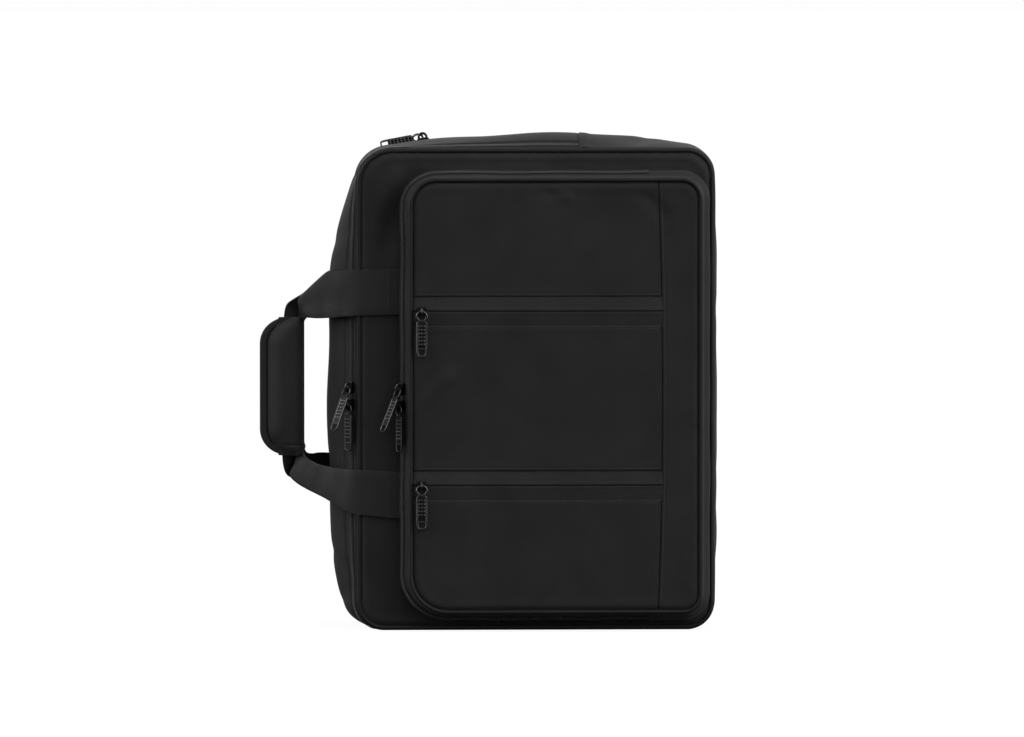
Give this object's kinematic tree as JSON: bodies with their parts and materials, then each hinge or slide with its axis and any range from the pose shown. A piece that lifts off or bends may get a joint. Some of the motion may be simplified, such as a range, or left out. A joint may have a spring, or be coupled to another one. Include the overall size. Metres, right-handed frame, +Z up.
{
  "type": "convertible backpack",
  "caption": "Soft rectangular laptop bag standing on its short end, with a front compartment, zipped face pockets and a padded side carry handle.",
  "frame": {"origin": "middle of the flat bottom of the main body, on the surface that the bag stands on", "axes": "+X to the right seen from the front, away from the carry handle; -Y out of the front; +Z up"},
  "size_m": [0.3989, 0.1439, 0.4315],
  "materials": {
    "nylon_cloth": "black woven nylon, matt with a faint sheen",
    "webbing": "black ribbed nylon webbing",
    "piping": "black cloth-covered cord",
    "zip": "black zip tape and coil",
    "grip_cloth": "padded black nylon, bound edge",
    "back_mesh": "padded black spacer mesh",
    "pull_metal": "dark gunmetal lacquer, edges worn bright"
  },
  "bodies": {
    "bag": {"front_panel": "nylon_cloth", "back_panel": "back_mesh", "front_piping": "piping", "back_piping": "piping", "gusset_front_strip": "nylon_cloth", "gusset_middle_strip": "nylon_cloth", "gusset_rear_strip": "nylon_cloth", "base_gusset": "nylon_cloth", "main_zip_chain": "zip", "rear_zip_chain": "zip", "pocket_rear_strip": "nylon_cloth", "pocket_front_strip": "nylon_cloth", "pocket_zip_chain": "zip", "pocket_side_wall": "nylon_cloth", "pocket_piping": "piping", "face_bottom_panel": "nylon_cloth", "face_middle_panel": "nylon_cloth", "face_top_panel": "nylon_cloth", "face_side_panel": "nylon_cloth", "upper_pocket_zip": "zip", "lower_pocket_zip": "zip", "front_handle_web": "webbing", "rear_handle_web": "webbing", "handle_grip": "grip_cloth", "main_upper_slider": "pull_metal", "main_lower_slider": "pull_metal", "pocket_upper_slider": "pull_metal", "pocket_lower_slider": "pull_metal", "rear_top_slider": "pull_metal", "face_upper_slider": "pull_metal", "face_lower_slider": "pull_metal"},
    "main_upper_pull": {"main_upper_pull": "pull_metal"},
    "main_lower_pull": {"main_lower_pull": "pull_metal"},
    "pocket_upper_pull": {"pocket_upper_pull": "pull_metal"},
    "pocket_lower_pull": {"pocket_lower_pull": "pull_metal"},
    "rear_top_pull": {"rear_top_pull": "pull_metal"},
    "face_upper_pull": {"face_upper_pull": "pull_metal"},
    "face_lower_pull": {"face_lower_pull": "pull_metal"}
  },
  "joints": [
    {"name": "main_upper_swing", "type": "hinge", "parent": "bag", "child": "main_upper_pull", "pos_m": [-0.16309, -0.04156, 0.2115], "axis": [-0.6493, 0.7605, 0], "range_deg": [0, 145]},
    {"name": "main_lower_swing", "type": "hinge", "parent": "bag", "child": "main_lower_pull", "pos_m": [-0.16309, -0.04156, 0.1965], "axis": [-0.6493, 0.7605, 0], "range_deg": [0, 28]},
    {"name": "pocket_upper_swing", "type": "hinge", "parent": "bag", "child": "pocket_upper_pull", "pos_m": [-0.11925, -0.06678, 0.2115], "axis": [-0.5084, 0.8611, 0], "range_deg": [0, 145]},
    {"name": "pocket_lower_swing", "type": "hinge", "parent": "bag", "child": "pocket_lower_pull", "pos_m": [-0.11925, -0.06678, 0.1965], "axis": [-0.5084, 0.8611, 0], "range_deg": [0, 28]},
    {"name": "rear_top_swing", "type": "hinge", "parent": "bag", "child": "rear_top_pull", "pos_m": [-0.09647, 0.01888, 0.42739], "axis": [0.0107, 0.9956, -0.0932], "range_deg": [0, 165]},
    {"name": "face_upper_swing", "type": "hinge", "parent": "bag", "child": "face_upper_pull", "pos_m": [-0.1, -0.08439, 0.2793], "axis": [-1, 0, 0], "range_deg": [0, 168]},
    {"name": "face_lower_swing", "type": "hinge", "parent": "bag", "child": "face_lower_pull", "pos_m": [-0.1, -0.08434, 0.1282], "axis": [-1, 0, 0], "range_deg": [0, 168]}
  ]
}
